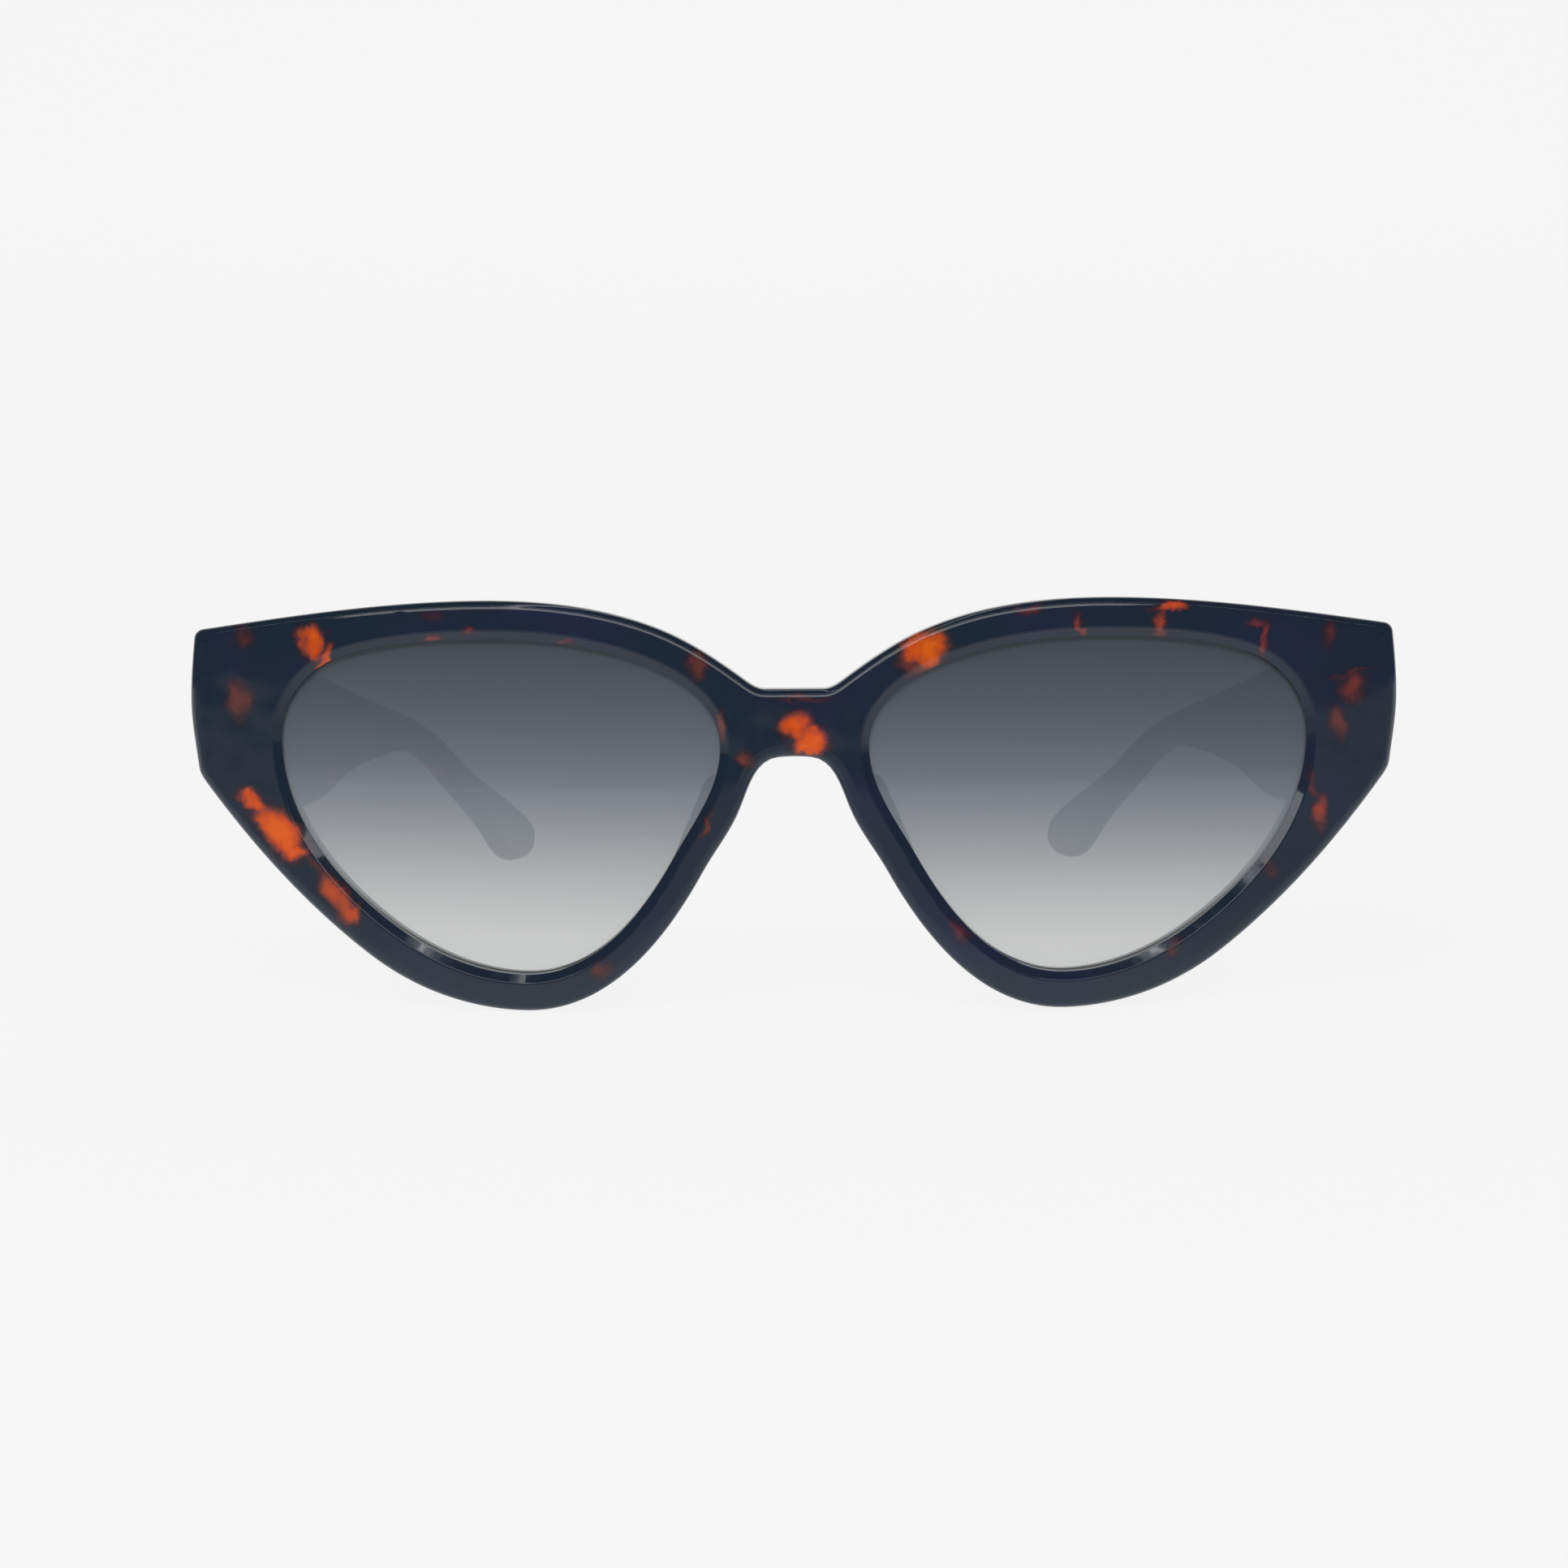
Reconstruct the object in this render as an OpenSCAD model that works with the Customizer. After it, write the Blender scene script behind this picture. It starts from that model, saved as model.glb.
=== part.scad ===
// Cat eye sunglasses with open temples, standing on the rims and the temple tips.
// Millimetres. X runs to the wearer's left, Y from the front back to the ears, Z up.
// Outlines are smooth curves through a few nodes, each [x, y, heading in degrees].

/* [Lens openings] */
// Width of a lens opening
eye_w = 52.4; // [44:0.1:63]
// Height of a lens opening
eye_h = 39.4; // [33:0.1:48]
// Distance between the two openings
bridge_w = 17.2; // [14:0.1:22]

/* [Front] */
// Thickness of the front
front_t = 4.5; // [3.7:0.05:6]
// Radius that the front is curved to, seen from above
front_r = 230; // [190:5:320]
// Width of the rim over the opening
top_rim = 4.45; // [3.5:0.05:7]
// Width of the rim under the opening
bottom_rim = 4.3; // [3.5:0.05:7]
// Width of the rim beside the nose
nose_rim = 3.8; // [3.2:0.1:5]
// Width of the rim on the lower outer side
cheek_rim = 4.8; // [3.5:0.1:7]
// Distance from the opening to the outer end
end_rim = 11.5; // [10.5:0.1:14]
// Height of the outer end between its corners
end_h = 17.7; // [16:0.1:19]
// How far the end's top corner lies under the top of the rim
end_drop = 3.3; // [2:0.1:6]
// How far the end bulges past its corners
end_bulge = 0.9; // [0:0.1:1.5]
// How far the front's end reaches out past the temple
end_over = 2.3; // [1:0.1:4]
// Height of the bridge, top to bottom
bridge_h = 7.85; // [6:0.05:10]
// How far the bridge's middle lies over the middle of the opening
bridge_lift = 9.9; // [8:0.1:12]

/* [Lenses] */
// Thickness of a lens
lens_t = 1.8; // [1.4:0.1:2.2]
// Radius of the lens's curve
lens_r = 180; // [140:5:260]
// Depth of the lens's middle surface behind the face of the front
lens_set = 1.4; // [1.2:0.1:1.8]
// Thickness of the tongue round the lens
tongue_t = 0.9; // [0.6:0.1:1.2]
// How far the tongue reaches into the rim
tongue_w = 0.7; // [0.4:0.1:1]
// Gap between lens and rim
lens_gap = 0.05; // [0.02:0.01:0.1]

/* [Nose pads] */
// Distance between the pads at their tops
pad_span = 17; // [15:0.5:22]
// Length of a pad, top to bottom
pad_len = 14; // [10:0.5:17]
// How far a pad stands back from the front
pad_back = 4; // [2.5:0.1:6]

/* [Temples] */
// Length of a temple from the hinge to the tip
temple_len = 150; // [125:1:160]
// Height of a temple at its hinge
temple_h = 15; // [12:0.1:16]
// Height of a temple at its neck, before the ear
neck_h = 5.1; // [5:0.1:8]
// Distance from the hinge to the ear bend
bend_at = 94; // [85:1:100]
// How far the upper edge arches between the hinge and the ear bend
crest = 1.1; // [0:0.1:2.5]
// How far the upper edge drops from the hinge's height to the tip
paddle_drop = 8.7; // [6:0.1:14]
// Height of the paddle at the tip
tip_h = 8.8; // [8:0.1:12]
// How far the lower edge swells under the hinge
belly = 3.2; // [0:0.1:6]
// Thickness of a temple at the hinge
temple_t = 4.2; // [3.8:0.1:5.2]
// Thickness of a temple at the tip
tip_t = 3.2; // [3.2:0.1:4.5]
// How far the tip bows in from the hinge
bow_in = 22.5; // [12:0.5:24]
// Gap between the temple's end and the front
butt_gap = 0.1; // [0.05:0.05:0.3]
// Width of the core wire's square section
wire_w = 1.3; // [1:0.1:1.6]

/* [Hinges] */
// Outside radius of the knuckles
knuckle_r = 1.4; // [1.2:0.05:1.7]
// Height of one knuckle
knuckle_h = 1.65; // [1.4:0.05:2]
// Gap between neighbouring knuckles
knuckle_gap = 0.06; // [0.03:0.01:0.12]
// Radius of the hinge screw's shank
screw_r = 0.7; // [0.5:0.05:0.8]
// Radius of the hinge screw's head
head_r = 1.25; // [1.05:0.05:1.35]
// Height of the hinge screw's head
head_h = 0.8; // [0.5:0.1:1.2]
// Gap between the screw and the knuckles
screw_gap = 0.04; // [0.02:0.01:0.08]
// Length of the plate in the temple
plate_len = 11; // [8:0.5:14]
// Thickness of the hinge plates
plate_t = 1.6; // [1.2:0.1:1.8]
// Depth of the anchor in the front
anchor_depth = 3; // [2:0.1:3.2]

/* [Hidden] */
$fn = 96;
big_fn = 256;

tortoise = "#2a2f3c";
lens_tint = "#6b7379";
metal = "#b9b4a8";
point_step = 2;       // spacing of the points along an outline
corner_r = 1.1;       // rounding of the end's two corners
knuckle_count = 5;
web_start = 0.5;      // the web of a temple's knuckle starts this far behind the axis
web_lap = 0.8;        // each knuckle's web runs this far onto its plate or anchor
cut_over = 1;         // how far a cutting shape passes the face that it cuts
block_lap = 0.4;      // the end block starts this far inside the temple's inner face
block_root = 2;       // and this far in front of the front's back face
block_back = 0.5;     // and ends this far behind the front's outer end
temple_step = 0.8;    // the temple's top lies this far under the end's top corner
knuckle_room = 0.35;  // gap between the knuckles and the end block
anchor_thin = 0.2;    // the anchor is this much thinner than the plate
plate_lap = 0.05;     // the plate's face laps the knuckles by this much
plate_back = 0.5;     // the plate starts this far behind the knuckles
plate_short = 0.4;    // the plate is this much shorter than the stack of knuckles
web_clear = 0.1;      // gap between a web and the temple's inner face
least_sag = 0.001;    // keeps the inner bow an arc when the temple is evenly thick

// ---- Places that follow from the sizes ----
front_w = bridge_w + 2 * (eye_w + end_rim);
eye_x = (bridge_w + eye_w) / 2;
eye_z = bottom_rim + eye_h / 2;
rim_top_z = eye_z + eye_h / 2 + top_rim;
bridge_z = eye_z + bridge_lift;
end_top_z = rim_top_z - end_drop;
end_bottom_z = end_top_z - end_h;

// The slab's faces are two upright cylinders round one axis at [0, front_r].
back_r = front_r - front_t;
function slab_y(r, x) = front_r - sqrt(r * r - x * x);

temple_out_x = front_w / 2 - end_over;
temple_in_x = temple_out_x - temple_t;
block_in_x = temple_in_x - block_lap;
axis_x = block_in_x - knuckle_r - knuckle_room;
butt_y = slab_y(back_r, front_w / 2) + block_back;
axis_y = butt_y;
temple_top_z = end_top_z - temple_step;
axis_z = temple_top_z - temple_h / 2;
hinge_h = knuckle_count * knuckle_h + (knuckle_count - 1) * knuckle_gap;

// ---- Smooth curves through nodes [x, y, heading] ----
function aim(a) = [cos(a), sin(a)];
function swing(a, b) = let (d = b - a) abs(d - 360 * round(d / 360));
// The cubic from one node to the next; where the two headings allow an arc, it is that arc.
function stretch(p, q) =
    let (a = [p.x, p.y], d = [q.x, q.y], way = atan2(d.y - a.y, d.x - a.x),
         bend = (swing(p[2], way) + swing(way, q[2])) / 2,
         reach = norm(d - a) * 2 / 3 / (1 + cos(bend)),
         b = a + reach * aim(p[2]), c = d - reach * aim(q[2]),
         n = max(3, ceil(norm(d - a) / point_step)))
    [for (i = [0:n - 1]) let (t = i / n, s = 1 - t)
        s * s * s * a + 3 * t * s * s * b + 3 * t * t * s * c + t * t * t * d];
function closed_curve(nodes) =
    [for (i = [0:len(nodes) - 1]) each stretch(nodes[i], nodes[(i + 1) % len(nodes)])];
function open_curve(nodes) = let (last = nodes[len(nodes) - 1])
    [for (i = [0:len(nodes) - 2]) each stretch(nodes[i], nodes[i + 1]), [last.x, last.y]];
function unit(v) = v / norm(v);
// A closed outline that runs anticlockwise, moved outwards by d
function grown(points, d) = let (n = len(points))
    [for (i = [0:n - 1])
        let (along = unit(points[(i + 1) % n] - points[(i + n - 1) % n]))
        points[i] + d * [along.y, -along.x]];
function mirrored(points) = [for (i = [len(points) - 1:-1:0]) [-points[i].x, points[i].y]];
function outward(p, d) = [p.x + d * sin(p[2]), p.y - d * cos(p[2]), p[2]];

// ---- The front's outlines, seen from the wearer's side with the left eye at +X ----
function eye_node(u, v, heading) = [eye_x + u * eye_w / 2, eye_z + v * eye_h / 2, heading];
nose_side = eye_node(-1, 0.36, -90);
nose_low = eye_node(-0.79, -0.29, -61);
bottom = eye_node(-0.12, -1, 0);
cheek = eye_node(0.49, -0.71, 36);
outer_side = eye_node(1, 0.4, 90);
outer_top = eye_node(0.7, 0.9, 163.5);
top = eye_node(0.05, 1, 180);
brow = eye_node(-0.68, 0.84, 202.5);
opening = closed_curve([nose_side, nose_low, bottom, cheek, outer_side, outer_top, top, brow]);

bridge_low_z = bridge_z - bridge_h / 2;
bridge_high_z = bridge_z + bridge_h / 2;
end_x = front_w / 2;
half_outline = open_curve([
    [0, bridge_low_z, 0],
    [bridge_w / 2 - 6.7, bridge_low_z - 0.1, -6],
    [bridge_w / 2 - 1.9, bridge_low_z - 6.8, -65],
    outward(nose_low, nose_rim),
    outward(bottom, bottom_rim),
    outward(cheek, cheek_rim),
    [end_x - end_bulge - corner_r, end_bottom_z - corner_r, 52],
    [end_x - end_bulge + 0.1, end_bottom_z + corner_r, 83],
    [end_x, (end_bottom_z + end_top_z) / 2, 90],
    [end_x - end_bulge + 0.3, end_top_z - corner_r, 97],
    [end_x - end_bulge - corner_r + 0.3, end_top_z, 172],
    outward(top, top_rim),
    outward(brow, top_rim),
    [bridge_w / 2 - 2.4, bridge_high_z + 1.4, 216],
    [bridge_w / 2 - 5.2, bridge_high_z, 180],
    [0, bridge_high_z, 180]]);
front_outline = [each half_outline,
    for (p = mirrored(half_outline)) if (p.x < -0.01) p];

// An outline drawn in X and Z, made solid from y0 back to y1
module upright(points, y0, y1) {
    translate([0, y1, 0]) rotate([90, 0, 0]) linear_extrude(y1 - y0) polygon(points);
}

module slab(r_in, r_out, z0, z1) {
    translate([0, front_r, z0]) difference() {
        cylinder(r = r_out, h = z1 - z0, $fn = big_fn);
        translate([0, 0, -cut_over]) cylinder(r = r_in, h = z1 - z0 + 2 * cut_over, $fn = big_fn);
    }
}

// ---- Lenses: slices of a spherical shell that is square to the front at the eye ----
eye_turn = asin(eye_x / front_r);
lens_centre = [0, front_r, eye_z]
    + (front_r - lens_set - lens_r) * [sin(eye_turn), -cos(eye_turn), 0];

module lens_shell(t) {
    translate(lens_centre) difference() {
        sphere(r = lens_r + t / 2, $fn = big_fn);
        sphere(r = lens_r - t / 2, $fn = big_fn);
    }
}

lens_back_y = slab_y(back_r, eye_x + eye_w / 2 + 2 * cut_over);

module lens_slice(grow_by, t) {
    intersection() {
        upright(grown(opening, grow_by), -2 * cut_over, lens_back_y + 2 * cut_over);
        lens_shell(t);
    }
}

module lens() {
    color(lens_tint) union() {
        lens_slice(-lens_gap, lens_t);
        lens_slice(tongue_w, tongue_t);
    }
}

// ---- Hinge: five knuckles on one upright screw, three on the front, two on the temple ----
function knuckle_low(i) = axis_z - hinge_h / 2 + i * (knuckle_h + knuckle_gap);

module knuckle(i) {
    translate([axis_x, axis_y, knuckle_low(i)]) cylinder(r = knuckle_r, h = knuckle_h);
}

module screw_hole() {
    translate([axis_x, axis_y, axis_z - hinge_h / 2 - cut_over])
        cylinder(r = screw_r + screw_gap, h = hinge_h + 2 * cut_over);
}

anchor_w = plate_t - anchor_thin;
anchor_mouth_y = slab_y(back_r, axis_x + anchor_w / 2);

// The part of the front hinge that is sunk into the front
module anchor() {
    translate([axis_x - anchor_w / 2, anchor_mouth_y - anchor_depth, axis_z - hinge_h / 2])
        cube([anchor_w, anchor_depth, hinge_h]);
}

module front_hinge() {
    color(metal) difference() {
        union() {
            anchor();
            for (i = [0:2:knuckle_count - 1]) {
                knuckle(i);
                translate([axis_x - anchor_w / 2, anchor_mouth_y - web_lap, knuckle_low(i)])
                    cube([anchor_w, axis_y - anchor_mouth_y + web_lap, knuckle_h]);
            }
        }
        screw_hole();
    }
}

plate_x = axis_x + knuckle_r - plate_lap;
plate_y = axis_y + knuckle_r + plate_back;
plate_h = hinge_h - plate_short;

// The part of the temple hinge that is sunk into the temple
module plate() {
    translate([plate_x, plate_y, axis_z - plate_h / 2]) cube([plate_t, plate_len, plate_h]);
}

module temple_hinge() {
    color(metal) difference() {
        union() {
            plate();
            for (i = [1:2:knuckle_count - 2]) {
                knuckle(i);
                translate([axis_x, axis_y + web_start, knuckle_low(i)])
                    cube([temple_in_x - web_clear - axis_x,
                        plate_y + web_lap - axis_y - web_start, knuckle_h]);
            }
        }
        screw_hole();
    }
}

module hinge_screw() {
    low = axis_z - hinge_h / 2;
    slot_w = 0.35;
    color(metal) difference() {
        union() {
            translate([axis_x, axis_y, low]) cylinder(r = screw_r, h = hinge_h);
            translate([axis_x, axis_y, low + hinge_h]) cylinder(r = head_r, h = head_h);
        }
        translate([axis_x - head_r - cut_over, axis_y - slot_w / 2, low + hinge_h + head_h / 2])
            cube([2 * (head_r + cut_over), slot_w, head_h]);
    }
}

// ---- Temple: an outline in Y and Z, tilted so that its tip stands on the table ----
lowest = [temple_len - 7, -paddle_drop - tip_h];
tilt = asin(temple_top_z / norm(lowest)) - atan2(-lowest.y, lowest.x);
arch_x = 0.63 * bend_at;    // where the upper edge's arch is highest

temple_outline = open_curve([
    [temple_h * sin(tilt), -temple_h * cos(tilt), -20],
    [29, -temple_h - belly, 0],
    [bend_at - 43, crest - neck_h - 9.3, 23],
    [bend_at - 22, crest - neck_h - 3.2, 13],
    [bend_at, crest - neck_h, -2],
    [bend_at + 13, crest - neck_h - 2.4, -17],
    [lowest.x - 15, lowest.y + 4.6, -20.5],
    [lowest.x, lowest.y, tilt],
    [temple_len, lowest.y + 0.5 * tip_h, 95],
    [temple_len - 7, -paddle_drop, 166],
    [bend_at + 27, -0.52 * paddle_drop, 169],
    [bend_at + 2, crest - 0.5, 175],
    [arch_x, crest, 180],
    [0, 0, 180 + 2 * atan(crest / arch_x)]]);
wire_line = open_curve([
    [3, -temple_h / 2, -4],
    [29, -(temple_h + belly - crest) / 2, 2],
    [bend_at - 22, crest - neck_h / 2 - 1.7, 7],
    [bend_at, crest - neck_h / 2, -3],
    [bend_at + 13, crest - neck_h / 2 - 2.3, -15],
    [temple_len - 10, -paddle_drop - 0.45 * tip_h, -15]]);
// A line made into a closed band w wide
function band(line, w) = let (n = len(line), side = [for (i = [0:n - 1])
        let (along = unit(line[min(i + 1, n - 1)] - line[max(i - 1, 0)]))
        w / 2 * [along.y, -along.x]])
    [for (i = [0:n - 1]) line[i] + side[i], for (i = [n - 1:-1:0]) line[i] - side[i]];

function bow_r(sag) = (temple_len * temple_len + sag * sag) / (2 * sag);
outer_bow_r = bow_r(bow_in);
inner_bow_r = bow_r(bow_in - temple_t + tip_t + least_sag);

// An outline drawn in the temple's own axes, made solid across the temple's full bow
module temple_slice(points) {
    translate([0, butt_y, temple_top_z]) rotate([-tilt, 0, 0]) rotate([90, 0, 90])
        linear_extrude(front_w / 2 + cut_over) polygon(points);
}

// A wall that starts square to the front and bows in; depths are from its outer face
module bowed_wall(depth_out, depth_in, r_out, r_in) {
    z0 = -10 * cut_over;
    h = rim_top_z - 2 * z0;
    x_out = temple_out_x - depth_out;
    x_in = temple_out_x - depth_in;
    intersection() {
        difference() {
            translate([x_out - r_out, butt_y, z0]) cylinder(r = r_out, h = h, $fn = big_fn);
            translate([x_in - r_in, butt_y, z0 - cut_over])
                cylinder(r = r_in, h = h + 2 * cut_over, $fn = big_fn);
        }
        translate([0, butt_y + butt_gap, z0]) cube([front_w, 2 * temple_len, h]);
    }
}

module core_wire() {
    depth = (temple_t - wire_w) / 2;
    color(metal) intersection() {
        temple_slice(band(wire_line, wire_w));
        bowed_wall(depth, depth + wire_w, outer_bow_r, outer_bow_r - wire_w);
    }
}

module temple() {
    color(tortoise) difference() {
        intersection() {
            temple_slice(temple_outline);
            bowed_wall(0, temple_t, outer_bow_r, inner_bow_r);
        }
        plate();
        core_wire();
    }
}

// ---- Front ----
module end_block() {
    intersection() {
        upright(front_outline, 0, butt_y);
        translate([block_in_x, slab_y(back_r, block_in_x) - block_root, end_bottom_z])
            cube([temple_out_x - block_in_x, butt_y, rim_top_z]);
    }
}

module front_frame() {
    color(tortoise) difference() {
        union() {
            intersection() {
                upright(front_outline, -cut_over, butt_y + cut_over);
                slab(back_r, front_r, -cut_over, rim_top_z + cut_over);
            }
            end_block();
            mirror([1, 0, 0]) end_block();
        }
        for (side = [0, 1]) mirror([side, 0, 0]) {
            upright(opening, -2 * cut_over, butt_y);
            intersection() {
                upright(grown(opening, tongue_w + lens_gap), -2 * cut_over, butt_y);
                lens_shell(tongue_t + 2 * lens_gap);
            }
            anchor();
        }
    }
}

// ---- Nose pads: soft wedges bonded to the back of the front ----
pad_top_r = 1.5;      // rounding of a pad's top
pad_mid_r = 2.0;      // rounding of its fullest place
pad_low_r = 1.6;      // rounding of its foot
pad_top_z = eye_z + 2.2;
pad_top_x = pad_span / 2 + 0.9;
pad_mid_out = 1.1;    // how far the pad spreads at its fullest place
pad_low_out = 4.4;    // and at its foot
pad_mid_down = 0.42 * pad_len;
pad_low_down = 0.8 * pad_len;
pad_foot_in = 1.5;    // the foot stands back less than the fullest place by this much
pad_ball_fn = 24;

module pad_ball(r, out, back, down) {
    translate([pad_top_x + out, slab_y(back_r, pad_span / 2) + back, pad_top_z - down])
        sphere(r = r, $fn = pad_ball_fn);
}

module nose_pad() {
    color(tortoise) intersection() {
        hull() {
            pad_ball(pad_top_r, 0, 0, 0);
            pad_ball(pad_mid_r, pad_mid_out, pad_back - pad_mid_r, pad_mid_down);
            pad_ball(pad_low_r, pad_low_out, pad_back - pad_low_r - pad_foot_in, pad_low_down);
        }
        translate([0, front_r, 0]) cylinder(r = back_r, h = rim_top_z, $fn = big_fn);
    }
}

// ---- The whole, moved so that the origin is under its middle ----
function tip_depth(p) = p.x * cos(tilt) + p.y * sin(tilt);
depth = butt_y + max([for (p = temple_outline) tip_depth(p)]);

module placed() translate([0, -depth / 2, 0]) children();
module left() placed() children();
module right() placed() mirror([1, 0, 0]) children();

placed() front_frame();
left() lens();  // lens_left
right() lens();  // lens_right
left() nose_pad();  // nose_pad_left
right() nose_pad();  // nose_pad_right
left() front_hinge();  // front_hinge_left
right() front_hinge();  // front_hinge_right
left() temple_hinge();  // temple_hinge_left
right() temple_hinge();  // temple_hinge_right
left() hinge_screw();  // hinge_screw_left
right() hinge_screw();  // hinge_screw_right
left() temple();  // temple_left
right() temple();  // temple_right
left() core_wire();  // core_wire_left
right() core_wire();  // core_wire_right
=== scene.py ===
import math

import bmesh
import bpy
from mathutils import Matrix, Vector


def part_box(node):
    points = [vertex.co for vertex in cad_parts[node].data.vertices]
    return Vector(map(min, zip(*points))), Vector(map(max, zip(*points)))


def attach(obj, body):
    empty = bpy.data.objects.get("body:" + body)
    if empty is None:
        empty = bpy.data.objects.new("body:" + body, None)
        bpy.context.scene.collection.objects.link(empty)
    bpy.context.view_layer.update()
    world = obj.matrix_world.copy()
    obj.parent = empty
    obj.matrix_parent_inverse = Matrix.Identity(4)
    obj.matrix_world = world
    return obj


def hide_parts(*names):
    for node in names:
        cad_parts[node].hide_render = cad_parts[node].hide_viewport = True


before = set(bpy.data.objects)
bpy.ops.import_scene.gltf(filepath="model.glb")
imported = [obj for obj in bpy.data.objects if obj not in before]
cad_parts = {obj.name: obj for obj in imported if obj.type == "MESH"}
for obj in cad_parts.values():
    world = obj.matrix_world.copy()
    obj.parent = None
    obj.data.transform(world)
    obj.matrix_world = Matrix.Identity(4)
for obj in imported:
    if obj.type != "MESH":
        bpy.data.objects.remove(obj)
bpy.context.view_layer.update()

bpy.ops.object.select_all(action="DESELECT")

# ---- Camera ----
# It stands 288 mm in front of the bridge, about level with the top of the front, and looks
# slightly down, as a product shot of glasses on a table is taken.
MM = 0.001                         # sizes below are in mm, the scene is in metres
face_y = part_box("front_frame")[0].y / MM    # face of the bridge, in mm
CAMERA_DISTANCE = 288              # mm from the face of the bridge
CAMERA_HEIGHT = 52.3
CAMERA_SIDE = -1.25
LOOK_DOWN, LEAN = 5.045, 0.35      # degrees
SENSOR, FOCAL = 36, 57.45
bpy.ops.object.camera_add(location=(CAMERA_SIDE * MM, (face_y - CAMERA_DISTANCE) * MM,
                                    CAMERA_HEIGHT * MM))
camera = bpy.context.object
camera.name = "camera"
turn = (Matrix.Rotation(math.radians(90 - LOOK_DOWN), 3, "X")
        @ Matrix.Rotation(math.radians(-LEAN), 3, "Z"))
camera.rotation_euler = turn.to_euler()
camera.data.sensor_width = SENSOR
camera.data.lens = FOCAL
camera.data.clip_start = 0.01
bpy.context.scene.camera = camera
bpy.context.scene.view_settings.view_transform = "Standard"

# ---- Floor and backdrop ----
# One sheet of matt white paper, laid flat under the object and swept up behind it. The
# sweep is a quarter circle, and the sheet glows evenly of itself.


def paint(hex_colour):
    """An sRGB hex colour as the linear colour that a shader takes."""
    parts = [int(hex_colour[i:i + 2], 16) / 255 for i in (1, 3, 5)]
    return [p / 12.92 if p <= 0.04045 else ((p + 0.055) / 1.055) ** 2.4 for p in parts] + [1]


def add(tree, kind, links=(), steps=(), **settings):
    """Adds a node. Links are (its input, a value or another node's output), and steps are
    the (position, colour) stops of a colour ramp."""
    made = tree.nodes.new(kind)
    for name, value in settings.items():
        setattr(made, name, value)
    for place, value in links:
        if isinstance(value, bpy.types.NodeSocket):
            tree.links.new(value, made.inputs[place])
        else:
            made.inputs[place].default_value = value
    for _ in steps[2:]:
        made.color_ramp.elements.new(0.5)
    if steps:
        for stop, (place, colour) in zip(made.color_ramp.elements, steps):
            stop.position = place
            stop.color = colour
    return made


def new_material(name):
    """An empty material and its tree."""
    made = bpy.data.materials.new(name)
    made.use_nodes = True
    made.node_tree.nodes.clear()
    return made, made.node_tree


FLOOR_FRONT, FLOOR_BACK, FLOOR_W = -0.47, 0.75, 3    # metres, here and in the sweep
SWEEP, SWEEP_STEPS, WALL_H = 0.25, 12, 0.9
UNDER = 0.0001                     # the sheet lies this far under the object
bpy.ops.mesh.primitive_plane_add(size=1)
floor = bpy.context.object
floor.name = "floor"
bpy.ops.object.mode_set(mode="EDIT")
bpy.ops.mesh.select_all(action="SELECT")
bpy.ops.transform.resize(value=(FLOOR_W, FLOOR_BACK - FLOOR_FRONT, 1))
bpy.ops.transform.translate(value=(0, (FLOOR_BACK + FLOOR_FRONT) / 2, 0))
bm = bmesh.from_edit_mesh(floor.data)
for edge in bm.edges:
    edge.select = all(v.co.y > FLOOR_BACK - 0.01 for v in edge.verts)
bm.select_flush_mode()
bmesh.update_edit_mesh(floor.data)
bpy.ops.mesh.select_mode(type="EDGE")
for step in range(SWEEP_STEPS):
    a, b = (math.radians(90 * k / SWEEP_STEPS) for k in (step, step + 1))
    rise = (0, SWEEP * (math.sin(b) - math.sin(a)), SWEEP * (math.cos(a) - math.cos(b)))
    bpy.ops.mesh.extrude_edges_move(TRANSFORM_OT_translate={"value": rise})
bpy.ops.mesh.extrude_edges_move(TRANSFORM_OT_translate={"value": (0, 0, WALL_H)})
bpy.ops.mesh.select_all(action="SELECT")
bpy.ops.transform.translate(value=(0, 0, -UNDER))
bpy.ops.object.mode_set(mode="OBJECT")
bpy.ops.object.shade_smooth()
paper, tree = new_material("pale_studio_paper")
# Matt paper, evenly lit, with only a little left for shadows to show on.
# Only in reflections does the paper next to the front glow bright with its far end dimmed:
# painted shade, since nothing shades the far paper.
place = add(tree, "ShaderNodeTexCoord").outputs["Object"]
along = add(tree, "ShaderNodeSeparateXYZ", [(0, place)]).outputs["Y"]
painted_shade_in_reflection = add(tree, "ShaderNodeMapRange", [("Value", along), ("From Min", -0.15),
                                        ("From Max", -0.09), ("To Min", 0.34),
                                        ("To Max", 0.74)]).outputs[0]
seen = add(tree, "ShaderNodeLightPath").outputs["Is Glossy Ray"]
level = add(tree, "ShaderNodeMix", [("Factor", seen), ("A", 0.865), ("B", painted_shade_in_reflection)])
glow = add(tree, "ShaderNodeEmission", [("Color", paint("#ffffff")),
                                        ("Strength", level.outputs[0])])
matt = add(tree, "ShaderNodeBsdfDiffuse", [("Color", (0.1, 0.1, 0.1, 1))])
both = add(tree, "ShaderNodeAddShader", [(0, glow.outputs[0]), (1, matt.outputs[0])])
add(tree, "ShaderNodeOutputMaterial", [("Surface", both.outputs[0])])
floor.data.materials.append(paper)

# ---- Light ----
# A long narrow lamp over the object, a broad one over the camera and a thin tube between
# them, in a dim room whose walls look white to the camera.


def soft_lamp(name, place, aim, size, power):
    """An oblong lamp turned towards a point."""
    bpy.ops.object.light_add(type="AREA", location=place)
    lamp = bpy.context.object
    lamp.name = name
    lamp.data.shape = "RECTANGLE"
    lamp.data.size, lamp.data.size_y = size
    lamp.data.energy = power
    lamp.rotation_euler = (Vector(aim) - Vector(place)).to_track_quat("-Z", "Y").to_euler()


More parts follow.
